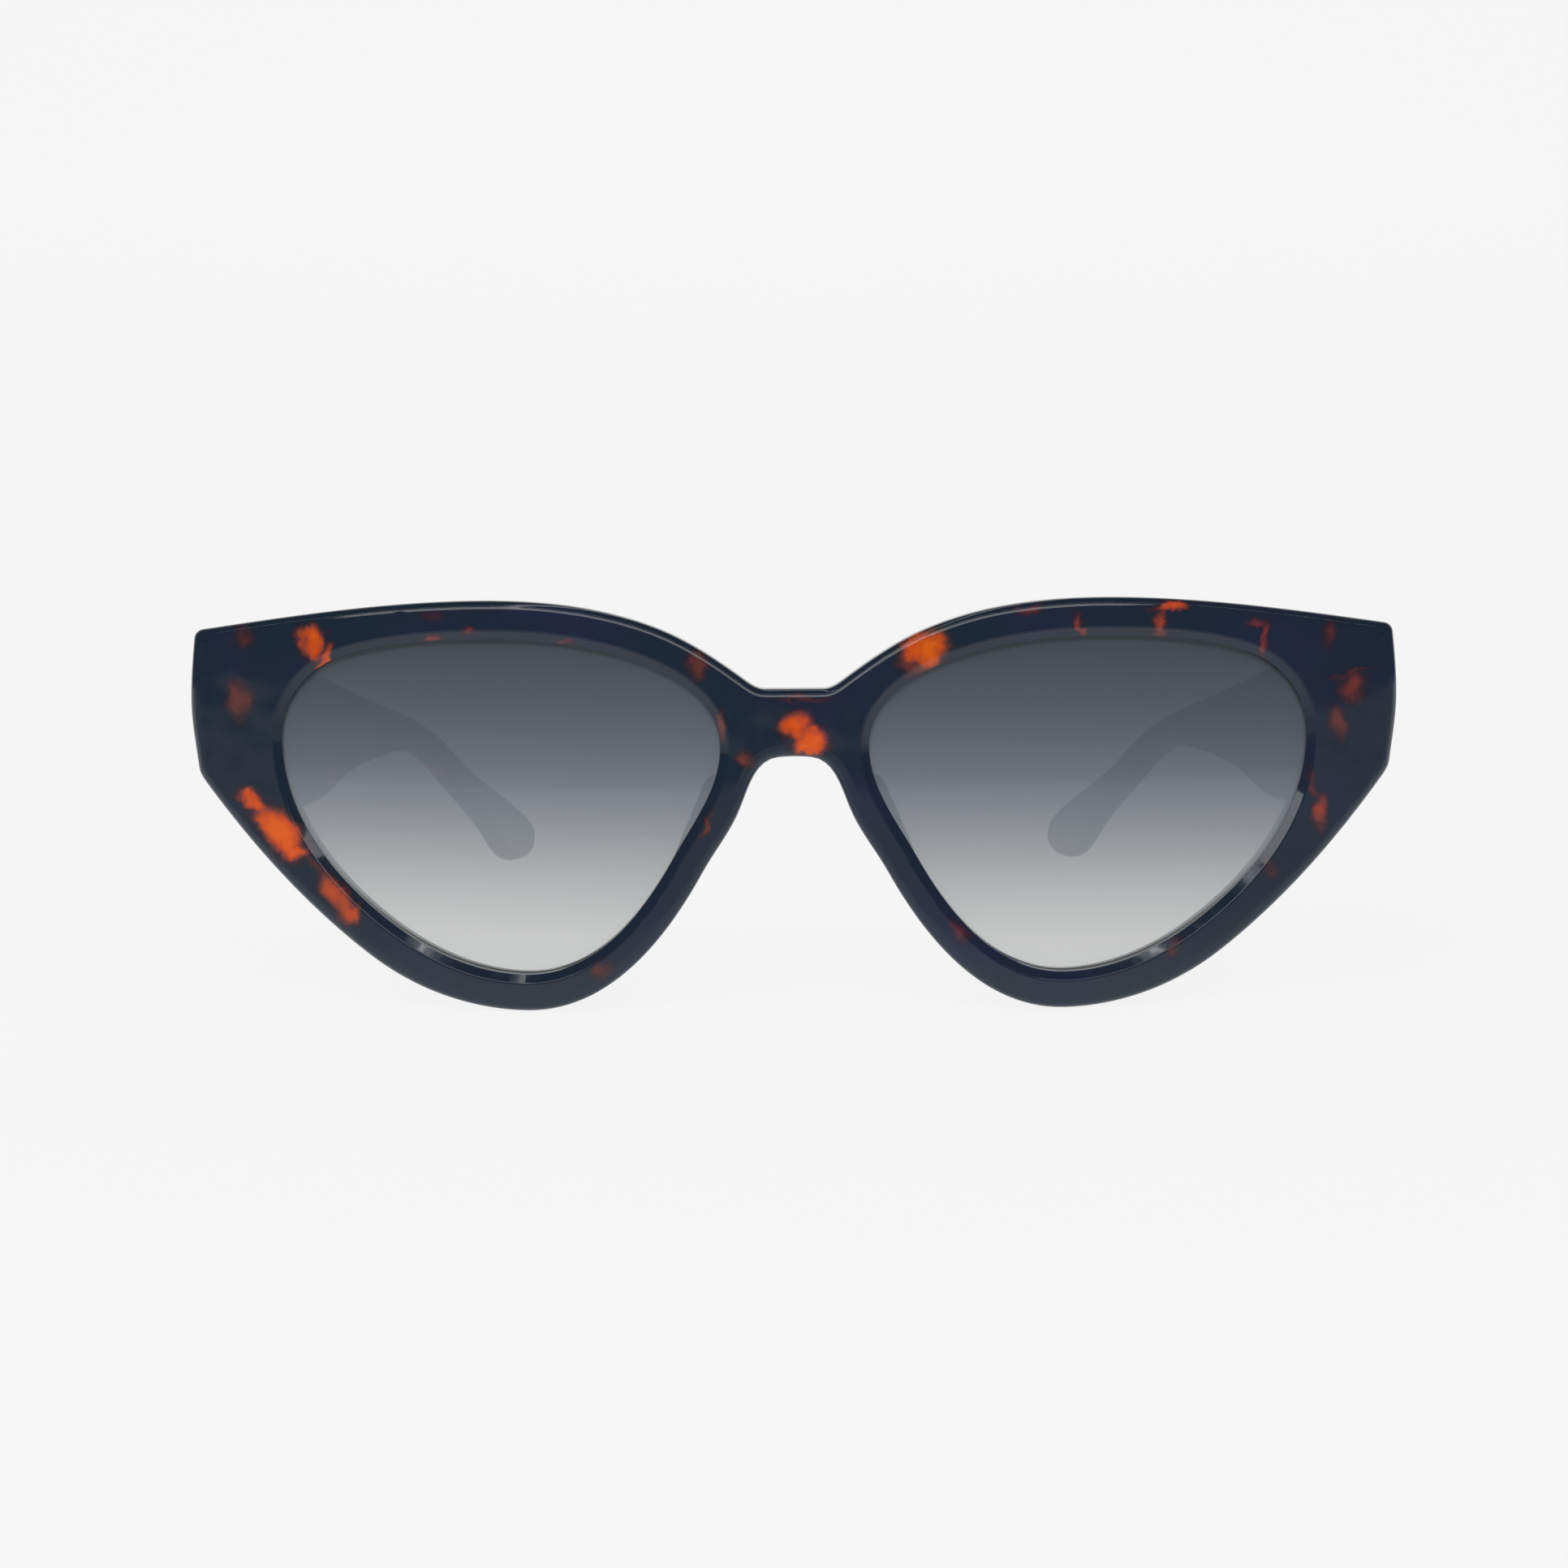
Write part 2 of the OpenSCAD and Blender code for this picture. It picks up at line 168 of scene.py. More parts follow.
soft_lamp("lamp_over", (-0.15, 0.05, 1.0), (0, 0, 0), (3.0, 0.06), 1.6)
soft_lamp("lamp_front", (-0.1, -0.95, 0.68), (0, -0.08, 0.02), (1.5, 0.4), 5.8)
soft_lamp("lamp_line", (0, -0.5, 0.8), (0, -0.08, 0.02), (2.0, 0.015), 0.7)
world = bpy.data.worlds.new("studio")
bpy.context.scene.world = world
world.use_nodes = True
tree = world.node_tree
tree.nodes.clear()
seen = add(tree, "ShaderNodeLightPath").outputs["Is Camera Ray"]
room = add(tree, "ShaderNodeValToRGB", [("Fac", seen)],
           steps=[(0, (0.07, 0.075, 0.085, 1)), (1, (0.93, 0.93, 0.93, 1))])
back = add(tree, "ShaderNodeBackground", [("Color", room.outputs["Color"])])
add(tree, "ShaderNodeOutputWorld", [("Surface", back.outputs[0])])

# ---- Front ----
# Cut from one sheet of tortoise acetate, curved in a heated press, milled and tumbled. Each
# lens opening has a sloped band round its face edge and a groove that the lens snaps into.
EYE_W, EYE_H, BRIDGE_W = 52.4, 39.4, 17.2
FRONT_T, FRONT_R, BACK_R = 4.5, 230, 225.5
TOP_RIM, BOTTOM_RIM, NOSE_RIM, CHEEK_RIM, END_RIM = 4.45, 4.3, 3.8, 4.8, 11.5
END_H, END_DROP, END_BULGE, CORNER_R = 17.7, 3.3, 0.9, 1.1
BRIDGE_H, BRIDGE_LIFT = 7.85, 9.9
LENS_T, LENS_R, LENS_SET, TONGUE_T, TONGUE_W, LENS_GAP = 1.8, 180, 1.4, 0.9, 0.7, 0.05
EYE_X = (BRIDGE_W + EYE_W) / 2
EYE_Z = BOTTOM_RIM + EYE_H / 2
RIM_TOP_Z = EYE_Z + EYE_H / 2 + TOP_RIM
BRIDGE_LOW = EYE_Z + BRIDGE_LIFT - BRIDGE_H / 2
BRIDGE_HIGH = BRIDGE_LOW + BRIDGE_H
END_X = EYE_X + EYE_W / 2 + END_RIM
END_TOP = RIM_TOP_Z - END_DROP
END_BOTTOM = END_TOP - END_H


def curved(nodes, closed=True, step=1.0, least=6):
    """Points along a smooth line through nodes (x, z, heading in degrees)."""
    points = []
    ends = nodes[1:] + nodes[:1] if closed else nodes[1:]
    for p, q in zip(nodes, ends):
        a, d = Vector(p[:2]), Vector(q[:2])
        way = math.degrees(math.atan2(d.y - a.y, d.x - a.x))
        bend = sum(abs((s - way + 180) % 360 - 180) for s in (p[2], q[2])) / 2
        reach = (d - a).length * 2 / 3 / (1 + math.cos(math.radians(bend)))
        b = a + reach * Vector((math.cos(math.radians(p[2])), math.sin(math.radians(p[2]))))
        c = d - reach * Vector((math.cos(math.radians(q[2])), math.sin(math.radians(q[2]))))
        n = max(least, math.ceil((d - a).length / step))
        for i in range(n):
            t, s = i / n, 1 - i / n
            points.append(s * s * s * a + 3 * t * s * s * b + 3 * t * t * s * c + t * t * t * d)
    if not closed:
        points.append(Vector(nodes[-1][:2]))
    return points


def outward_of(points):
    """At each point of an anticlockwise outline, the direction that leaves it squarely."""
    sides = []
    for i, p in enumerate(points):
        along = (points[(i + 1) % len(points)] - points[i - 1]).normalized()
        sides.append(Vector((along.y, -along.x)))
    return sides


def eye_node(u, v, heading, out=0):
    """A place on the left lens opening, u and v running from -1 to 1, moved out of it."""
    turn = math.radians(heading)
    return (EYE_X + u * EYE_W / 2 + out * math.sin(turn),
            EYE_Z + v * EYE_H / 2 - out * math.cos(turn), heading)


opening = curved([eye_node(-1, 0.36, -90), eye_node(-0.79, -0.29, -61), eye_node(-0.12, -1, 0),
                  eye_node(0.49, -0.71, 36), eye_node(1, 0.4, 90), eye_node(0.7, 0.9, 163.5),
                  eye_node(0.05, 1, 180), eye_node(-0.68, 0.84, 202.5)])
half = curved([
    (0, BRIDGE_LOW, 0),
    (BRIDGE_W / 2 - 6.7, BRIDGE_LOW - 0.1, -6),
    (BRIDGE_W / 2 - 1.9, BRIDGE_LOW - 6.8, -65),
    eye_node(-0.79, -0.29, -61, NOSE_RIM),
    eye_node(-0.12, -1, 0, BOTTOM_RIM),
    eye_node(0.49, -0.71, 36, CHEEK_RIM),
    (END_X - END_BULGE - CORNER_R, END_BOTTOM - CORNER_R, 52),
    (END_X - END_BULGE + 0.1, END_BOTTOM + CORNER_R, 83),
    (END_X, (END_BOTTOM + END_TOP) / 2, 90),
    (END_X - END_BULGE + 0.3, END_TOP - CORNER_R, 97),
    (END_X - END_BULGE - CORNER_R + 0.3, END_TOP, 172),
    eye_node(0.05, 1, 180, TOP_RIM),
    eye_node(-0.68, 0.84, 202.5, TOP_RIM),
    (BRIDGE_W / 2 - 2.4, BRIDGE_HIGH + 1.4, 216),
    (BRIDGE_W / 2 - 5.2, BRIDGE_HIGH, 180),
    (0, BRIDGE_HIGH, 180)], closed=False)
outline = half + [Vector((-p.x, p.y)) for p in reversed(half[1:-1])]


def depth_at(radius, x):
    """How far a cylinder round the wearer's head lies behind the bridge's face."""
    return FRONT_R - math.sqrt(radius * radius - x * x)


EYE_TURN = math.asin(EYE_X / FRONT_R)
LENS_CENTRE = Vector(((FRONT_R - LENS_SET - LENS_R) * math.sin(EYE_TURN),
                      FRONT_R - (FRONT_R - LENS_SET - LENS_R) * math.cos(EYE_TURN), EYE_Z))


def lens_depth(x, z, off):
    """Where the left lens's middle surface lies, off mm nearer to the face."""
    across = (x - LENS_CENTRE.x) ** 2 + (z - LENS_CENTRE.z) ** 2
    return LENS_CENTRE.y - math.sqrt((LENS_R + off) ** 2 - across)


def slab_share(x, z, off):
    """The same place as a depth in the flat, uncurved slab."""
    x = abs(x)
    face, back = depth_at(FRONT_R, x), depth_at(BACK_R, x)
    return (lens_depth(x, z, off) - face) / (back - face) * FRONT_T


def drawn_wall(name, points, rings):
    """A circle laid along an outline, then extruded ring by ring. A ring is
    (distance out of the outline, depth), where depth may be worked out from x and z."""
    sides = outward_of(points)
    bpy.ops.object.select_all(action="DESELECT")
    bpy.ops.mesh.primitive_circle_add(vertices=len(points), radius=1)
    wall = bpy.context.object
    wall.name = name
    marks = wall.data.attributes.new("mark", "INT", "POINT")
    marks.data.foreach_set("value", list(range(len(points))))
    bpy.ops.object.mode_set(mode="EDIT")
    bpy.ops.mesh.select_all(action="SELECT")
    for count, (out, depth) in enumerate(rings):
        if count:
            bpy.ops.mesh.extrude_edges_move()
        bm = bmesh.from_edit_mesh(wall.data)
        mark = bm.verts.layers.int["mark"]
        for v in bm.verts:
            if v.select:
                i = v[mark]
                reach = out(i) if callable(out) else out
                x, z = points[i] + sides[i] * reach
                v.co = (x, depth(x, z) if callable(depth) else depth, z)
        bmesh.update_edit_mesh(wall.data)
    bpy.ops.object.mode_set(mode="OBJECT")
    return wall


def fill_rim(piece, depth):
    """Fills between the open edges that lie at one depth."""
    bpy.ops.object.mode_set(mode="EDIT")
    bpy.ops.mesh.select_mode(type="EDGE")
    bpy.ops.mesh.select_all(action="DESELECT")
    bm = bmesh.from_edit_mesh(piece.data)
    for e in bm.edges:
        e.select = e.is_boundary and all(abs(v.co.y - depth) < 0.001 for v in e.verts)
    bmesh.update_edit_mesh(piece.data)
    bpy.ops.mesh.fill(use_beauty=True)
    bpy.ops.object.mode_set(mode="OBJECT")


def cut_in_strips(piece, first, last, step):
    """Cuts the piece at equal steps along X, so that it can be bent smoothly."""
    bpy.ops.object.mode_set(mode="EDIT")
    cut = first
    while cut <= last:
        bpy.ops.mesh.select_all(action="SELECT")
        bpy.ops.mesh.bisect(plane_co=(cut, 0, 0), plane_no=(1, 0, 0))
        cut += step
    bpy.ops.mesh.select_all(action="SELECT")
    bpy.ops.mesh.remove_doubles(threshold=0.002)
    bpy.ops.mesh.normals_make_consistent(inside=False)
    bpy.ops.object.mode_set(mode="OBJECT")


def apply_all(piece):
    """Applies the piece's modifiers in their order."""
    bpy.ops.object.select_all(action="DESELECT")
    piece.select_set(True)
    bpy.context.view_layer.objects.active = piece
    for modifier in list(piece.modifiers):
        bpy.ops.object.modifier_apply(modifier=modifier.name)


def polish(piece, angle):
    """Smooth shading with flat faces kept flat."""
    apply_all(piece)
    bpy.ops.object.shade_smooth_by_angle(angle=math.radians(angle))
    weights = piece.modifiers.new("weights", "WEIGHTED_NORMAL")
    weights.keep_sharp = True
    apply_all(piece)


FACE_ROUND = [(-1.5, 0), (-1.15, 0), (-0.76, 0.07), (-0.42, 0.27), (-0.17, 0.57), (-0.03, 0.92),
              (0, 1.3)]
BACK_ROUND = [(0, FRONT_T - 0.8), (-0.06, FRONT_T - 0.5), (-0.23, FRONT_T - 0.23),
              (-0.5, FRONT_T - 0.06), (-0.8, FRONT_T), (-1.1, FRONT_T)]
front = drawn_wall("front", outline, FACE_ROUND + BACK_ROUND)
half_groove = TONGUE_T / 2 + LENS_GAP
groove_out = TONGUE_W + LENS_GAP


def groove_front(x, z):
    """Depth of the groove's face side."""
    return slab_share(x, z, half_groove)


def groove_back(x, z):
    """Depth of the groove's back side."""
    return slab_share(x, z, -half_groove)


FRONT_STRIP, SHARP = 2, 40         # mm between cuts; degrees, steeper edges stay sharp
OPENING_RINGS = [(1.2, 0), (0.98, 0), (0.91, 0.02), (0.84, 0.08), (0, 0.74),
                 (0, groove_front), (groove_out, groove_front),
                 (groove_out, groove_back), (0, groove_back), (0, FRONT_T - 0.5),
                 (0.06, FRONT_T - 0.25), (0.2, FRONT_T - 0.07), (0.45, FRONT_T),
                 (0.7, FRONT_T)]
rims = [drawn_wall("rim", opening, OPENING_RINGS)]
rims.append(drawn_wall("rim", [Vector((-p.x, p.y)) for p in reversed(opening)], OPENING_RINGS))
bpy.ops.object.select_all(action="DESELECT")
for part in rims + [front]:
    part.select_set(True)
bpy.context.view_layer.objects.active = front
bpy.ops.object.join()
fill_rim(front, 0)
fill_rim(front, FRONT_T)
cut_in_strips(front, -70, 70, FRONT_STRIP)
for v in front.data.vertices:
    face, back = depth_at(FRONT_R, v.co.x), depth_at(BACK_R, v.co.x)
    v.co.y = face_y + face + v.co.y / FRONT_T * (back - face)

# The end blocks, which carry the hinges, are milled out of the same sheet.
BLOCK_IN, BLOCK_OUT, BLOCK_ROOT, BLOCK_BEVEL = 65.6, 70.2, 2, 0.35
BUTT_Y = depth_at(BACK_R, END_X) + 0.5
for side in (-1, 1):
    bpy.ops.object.select_all(action="DESELECT")
    bpy.ops.mesh.primitive_cube_add(size=1)
    block = bpy.context.object
    block.name = "end_block"
    for v in block.data.vertices:
        inner = v.co.x < 0
        v.co.x = side * (BLOCK_IN if inner else BLOCK_OUT)
        v.co.y = face_y + (BUTT_Y if v.co.y > 0 else depth_at(BACK_R, BLOCK_IN) - BLOCK_ROOT)
        v.co.z = END_BOTTOM + 0.05 if v.co.z < 0 else END_TOP + (0.55 if inner else -0.08)
    bpy.ops.object.mode_set(mode="EDIT")
    bpy.ops.mesh.select_all(action="SELECT")
    bpy.ops.mesh.normals_make_consistent(inside=False)
    bpy.ops.mesh.bevel(offset=BLOCK_BEVEL, segments=3)
    bpy.ops.object.mode_set(mode="OBJECT")
    join = front.modifiers.new("join", "BOOLEAN")
    join.operation = "UNION"
    join.object = block
    apply_all(front)
    bpy.data.objects.remove(block)
front.data.transform(Matrix.Scale(MM, 4))
polish(front, SHARP)

# Patches of the sheet that the face shows: x, z, half width, half height (mm), turn
# (degrees) and how bright the patch is.
PATCHES = [
    (-56.8, 43.5, 1.4, 1.5, 0, 1.00), (-55.4, 41.7, 0.6, 1.4, -40, 0.80),
    (-65.3, 44.1, 1.0, 1.3, 0, 0.35), (-66.1, 36.6, 1.3, 2.2, 0, 0.42),
    (-64.6, 24.2, 2.0, 0.9, -35, 0.80), (-61.2, 20.6, 3.2, 1.7, -45, 1.00),
    (-59.4, 18.6, 1.6, 1.0, 0, 0.90), (-57.2, 17.0, 3.6, 0.4, -58, 0.34),
    (-54.3, 13.2, 2.8, 1.1, -55, 0.75), (-53.0, 11.2, 1.3, 1.1, 0, 0.70),
    (-42.3, 43.8, 1.0, 0.6, 0, 0.50), (-42.0, 46.4, 1.4, 0.5, 0, 0.25),
    (-37.7, 44.4, 0.9, 0.5, 20, 0.42), (-26.9, 43.2, 1.0, 0.5, 0, 0.38),
    (-11.1, 41.0, 1.1, 1.6, 0, 0.46), (-8.4, 33.4, 0.5, 1.5, 0, 0.42),
    (-5.9, 29.7, 1.0, 0.8, 0, 0.46), (-10.3, 21.9, 0.5, 1.4, -25, 0.45),
    (-22.8, 4.8, 1.2, 0.9, 0, 0.38), (1.9, 32.0, 1.9, 1.3, 0, 1.00),
    (0.2, 33.6, 1.5, 1.4, 0, 0.82), (0.9, 36.8, 2.9, 0.3, 0, 0.35),
    (15.3, 42.4, 2.2, 1.7, 20, 1.00), (13.7, 40.6, 1.4, 1.0, 0, 0.46),
    (27.1, 46.8, 1.4, 0.5, 0, 0.36), (33.1, 44.9, 0.4, 1.4, 25, 0.48),
    (43.7, 47.0, 1.8, 0.5, 0, 0.72), (42.9, 45.2, 0.7, 1.5, 0, 0.58),
    (42.9, 43.8, 1.1, 0.4, 0, 0.40), (55.6, 42.9, 0.5, 1.9, 0, 0.50),
    (54.6, 44.9, 1.3, 0.4, 0, 0.36), (63.5, 43.6, 0.9, 1.2, 0, 0.34),
    (66.3, 37.2, 1.4, 1.6, 0, 0.46), (66.0, 38.8, 2.6, 0.4, 10, 0.34),
    (64.7, 33.2, 1.0, 1.6, 15, 0.38), (61.8, 25.5, 0.4, 1.8, 20, 0.36),
    (62.8, 22.3, 0.8, 1.7, 0, 0.56), (56.6, 15.5, 0.8, 1.0, 45, 0.34),
    (44.8, 6.5, 1.2, 0.6, 45, 0.34), (19.3, 9.6, 1.6, 0.7, -45, 0.38)]
PATCH_DEPTH = 6                    # mm that a patch reaches into the sheet
PATCH_SPREAD = 2.0                 # a patch fades out at this many times its size


def acetate(name, patches=()):
    """Tortoise acetate, tumbled to a wet polish: navy black with amber and red clouds, and
    sharp reflections, slightly wavy. Without patches its clouds are left to chance."""
    made, tree = new_material(name)
    place = add(tree, "ShaderNodeTexCoord").outputs["Object"]
    # Clouds with ragged edges: places shift by up to 1 mm or so, in steps of about 3 mm.
    ragged = add(tree, "ShaderNodeTexNoise", [("Vector", place), ("Scale", 1 / (3 * MM)),
                                             ("Detail", 3.5), ("Roughness", 0.6)])
    centred = add(tree, "ShaderNodeVectorMath", [(0, ragged.outputs["Color"]),
                                                 (1, (0.5, 0.5, 0.5))], operation="SUBTRACT")
    shift = add(tree, "ShaderNodeVectorMath", [(0, centred.outputs[0]), ("Scale", 3.2 * MM)],
                operation="SCALE")
    shifted = add(tree, "ShaderNodeVectorMath", [(0, place), (1, shift.outputs[0])],
                  operation="ADD").outputs[0]
    if not patches:
        # Clouds 9 mm across or so.
        drift = add(tree, "ShaderNodeTexNoise", [("Vector", shifted), ("W", 5.3),
                                                ("Scale", 1 / (9 * MM)), ("Detail", 1.5),
                                                ("Roughness", 0.55)], noise_dimensions="4D")
        cloud = add(tree, "ShaderNodeMapRange",
                    [("Value", drift.outputs["Fac"]), ("From Min", 0.6), ("From Max", 0.72)],
                    interpolation_type="SMOOTHSTEP").outputs[0]
    for count, (x, z, wide, high, tilt, bright) in enumerate(patches):
        y = face_y + depth_at(FRONT_R, x) + 1
        spot = add(tree, "ShaderNodeMapping",
                   [("Vector", shifted), ("Location", (x * MM, y * MM, z * MM)),
                    ("Rotation", (0, math.radians(-tilt), 0)),
                    ("Scale", (PATCH_SPREAD * wide * MM, PATCH_DEPTH * MM,
                               PATCH_SPREAD * high * MM))], vector_type="TEXTURE")
        ball = add(tree, "ShaderNodeTexGradient", [("Vector", spot.outputs[0])],
                   gradient_type="SPHERICAL")
        firm = add(tree, "ShaderNodeMapRange",
                   [("Value", ball.outputs["Fac"]), ("From Min", 0.0), ("From Max", 0.82),
                    ("To Max", bright)], interpolation_type="SMOOTHSTEP").outputs[0]
        cloud = firm if count == 0 else add(
            tree, "ShaderNodeMath", [(0, cloud), (1, firm)], operation="MAXIMUM").outputs[0]
    # The dye is uneven inside a cloud, in steps of about 2.5 mm.
    mottle = add(tree, "ShaderNodeTexNoise", [("Vector", place), ("Scale", 1 / (2.5 * MM)),
                                              ("Detail", 3.0)])
    uneven = add(tree, "ShaderNodeMapRange", [("Value", mottle.outputs["Fac"]),
                                              ("From Min", 0.3), ("From Max", 0.7),
                                              ("To Min", 0.82), ("To Max", 1.15)])
    cloud = add(tree, "ShaderNodeMath", [(0, cloud), (1, uneven.outputs[0])],
                operation="MULTIPLY").outputs[0]
    body = add(tree, "ShaderNodeValToRGB", [("Fac", cloud)], steps=[
        (0.0, paint("#1f2b3c")), (0.14, paint("#262837")), (0.3, paint("#422a31")),
        (0.5, paint("#7c3b35")), (0.68, paint("#c04b28")), (0.84, paint("#e0561a")),
        (1.0, paint("#f2661c"))])
    # Faint teal and violet drift in the dark ground, 14 mm across.
    tone = add(tree, "ShaderNodeTexNoise", [("Vector", place), ("Scale", 1 / (14 * MM)),
                                            ("Detail", 2.0)])
    tint = add(tree, "ShaderNodeValToRGB", [("Fac", tone.outputs["Fac"])], steps=[
        (0.3, (0.85, 1.05, 1.0, 1)), (0.5, (1, 1, 1, 1)), (0.7, (1.25, 1.0, 1.3, 1))])
    ground = add(tree, "ShaderNodeMix",
                 [("Factor", 1.0), (6, body.outputs["Color"]), (7, tint.outputs["Color"])],
                 data_type="RGBA", blend_type="MULTIPLY")
    # Hand polish leaves the surface wavy over 14 mm.
    wave = add(tree, "ShaderNodeTexNoise", [("Vector", place), ("Scale", 1 / (14 * MM)),
                                            ("Detail", 2.0), ("Roughness", 0.4)])
    waved = add(tree, "ShaderNodeBump", [("Height", wave.outputs["Fac"]), ("Strength", 0.35),
                                         ("Distance", 0.9 * MM)])
    # Handling leaves faint scuffs that dull the polish a little.
    scuff = add(tree, "ShaderNodeTexNoise", [("Vector", place), ("Scale", 1 / (1.5 * MM)),
                                             ("Detail", 4.0)])
    dull = add(tree, "ShaderNodeMapRange", [("Value", scuff.outputs["Fac"]), ("From Min", 0.4),
                                            ("From Max", 0.75), ("To Min", 0.05),
                                            ("To Max", 0.14)])
    skin = add(tree, "ShaderNodeBsdfPrincipled",
               [("Base Color", ground.outputs[2]), ("Roughness", dull.outputs[0]),
                ("IOR", 1.48), ("Specular IOR Level", 0.5), ("Normal", waved.outputs[0])])
    add(tree, "ShaderNodeOutputMaterial", [("Surface", skin.outputs[0])])
    return made


front_acetate = acetate("tortoise_acetate_front", PATCHES)
front.data.materials.clear()
front.data.materials.append(front_acetate)
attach(front, "front")
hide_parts("front_frame")

# ---- Lenses ----
# Moulded polycarbonate, dished to part of a sphere and dipped in dye, so that the tint is
# dark at the top and fades downwards. A thin tongue round the edge sits in the groove.
FADE = [  # height (mm), light let through, colour of the tint itself
    (3.0, 0.62, "#8f9292"), (9.0, 0.50, "#a3a5a5"), (13.0, 0.36, "#a1a4a5"),
    (17.0, 0.19, "#a2a5a8"), (21.0, 0.10, "#93989d"), (25.0, 0.06, "#80868e"),
    (29.0, 0.04, "#6e757f"), (33.0, 0.03, "#606870"), (37.0, 0.022, "#555d65"),
    (42.0, 0.016, "#4b525a"), (47.0, 0.014, "#434a52")]
DYE_SLOPE, DYE_LIFT = 0.017, 0.6   # the dye line sat askew, by one degree, and higher


def tinted():
    """Gradient tint: a dyed and hard-coated skin, polished on both sides."""
    made, tree = new_material("gradient_tinted_polycarbonate")
    place = add(tree, "ShaderNodeTexCoord").outputs["Object"]
    part = add(tree, "ShaderNodeSeparateXYZ", [(0, place)]).outputs
    height = add(tree, "ShaderNodeMath", [(0, part["X"]), (1, DYE_SLOPE), (2, part["Z"])],
                 operation="MULTIPLY_ADD").outputs[0]
    low, high = FADE[0][0], FADE[-1][0]
    share = add(tree, "ShaderNodeMapRange", [("Value", height),
                                             ("From Min", (low - DYE_LIFT) * MM),
                                             ("From Max", (high - DYE_LIFT) * MM)]).outputs[0]
    places = [(z - low) / (high - low) for z, _, _ in FADE]
    colour = add(tree, "ShaderNodeValToRGB", [("Fac", share)],
                 steps=[(p, paint(c)) for p, (_, _, c) in zip(places, FADE)])
    cover = add(tree, "ShaderNodeValToRGB", [("Fac", share)],
                steps=[(p, (1 - t, 1 - t, 1 - t, 1)) for p, (_, t, _) in zip(places, FADE)])
    skin = add(tree, "ShaderNodeBsdfPrincipled",
               [("Base Color", colour.outputs["Color"]), ("Alpha", cover.outputs["Color"]),
                ("Roughness", 0.04), ("IOR", 1.586), ("Specular IOR Level", 0.35)])
    add(tree, "ShaderNodeOutputMaterial", [("Surface", skin.outputs[0])])
    return made


def clear():
    """The lens's back and edge: untinted, with an anti-glare finish."""
    made, tree = new_material("polished_polycarbonate")
    place = add(tree, "ShaderNodeTexCoord").outputs["Object"]
    film = add(tree, "ShaderNodeTexNoise", [("Vector", place), ("Scale", 1 / (20 * MM))])
    colour = add(tree, "ShaderNodeValToRGB", [("Fac", film.outputs["Fac"])],
                 steps=[(0.3, paint("#20282c")), (0.7, paint("#2a2a33"))])
    skin = add(tree, "ShaderNodeBsdfPrincipled",
               [("Base Color", colour.outputs["Color"]), ("Alpha", 0.06),
                ("Roughness", 0.04), ("IOR", 1.586), ("Specular IOR Level", 0.2)])
    add(tree, "ShaderNodeOutputMaterial", [("Surface", skin.outputs[0])])
    return made


tint_skin, clear_skin = tinted(), clear()
LENS_SEAT = 0.01                   # the face's edge is pressed against the rim
LENS_ROUND = 0.1                   # rounding of the back's edge
INNER_STEPS = [0.985, 0.95, 0.88, 0.78, 0.66, 0.54, 0.42, 0.3, 0.2, 0.1]
# Each ring of the edge is (distance out of the opening, height over the middle surface).
EDGE_RINGS = [
    (LENS_SEAT, LENS_T / 2), (-LENS_GAP, TONGUE_T / 2), (TONGUE_W, TONGUE_T / 2),
    (TONGUE_W, -TONGUE_T / 2), (-LENS_GAP, -TONGUE_T / 2),
    (-LENS_GAP, LENS_ROUND - LENS_T / 2), (-LENS_GAP - LENS_ROUND, -LENS_T / 2)]


def lens_rings(points, side):
    """Rings from the middle of the face over the tongue to the middle of the back."""
    sides = outward_of(points)
    centre = Vector((side * EYE_X, EYE_Z))

    def inner(share, off):
        return [centre + (p - s * LENS_GAP - centre) * share for p, s in zip(points, sides)], off

    return ([inner(share, LENS_T / 2) for share in reversed(INNER_STEPS)]
            + [([p + s * out for p, s in zip(points, sides)], off) for out, off in EDGE_RINGS]
            + [inner(share, -LENS_T / 2) for share in INNER_STEPS])


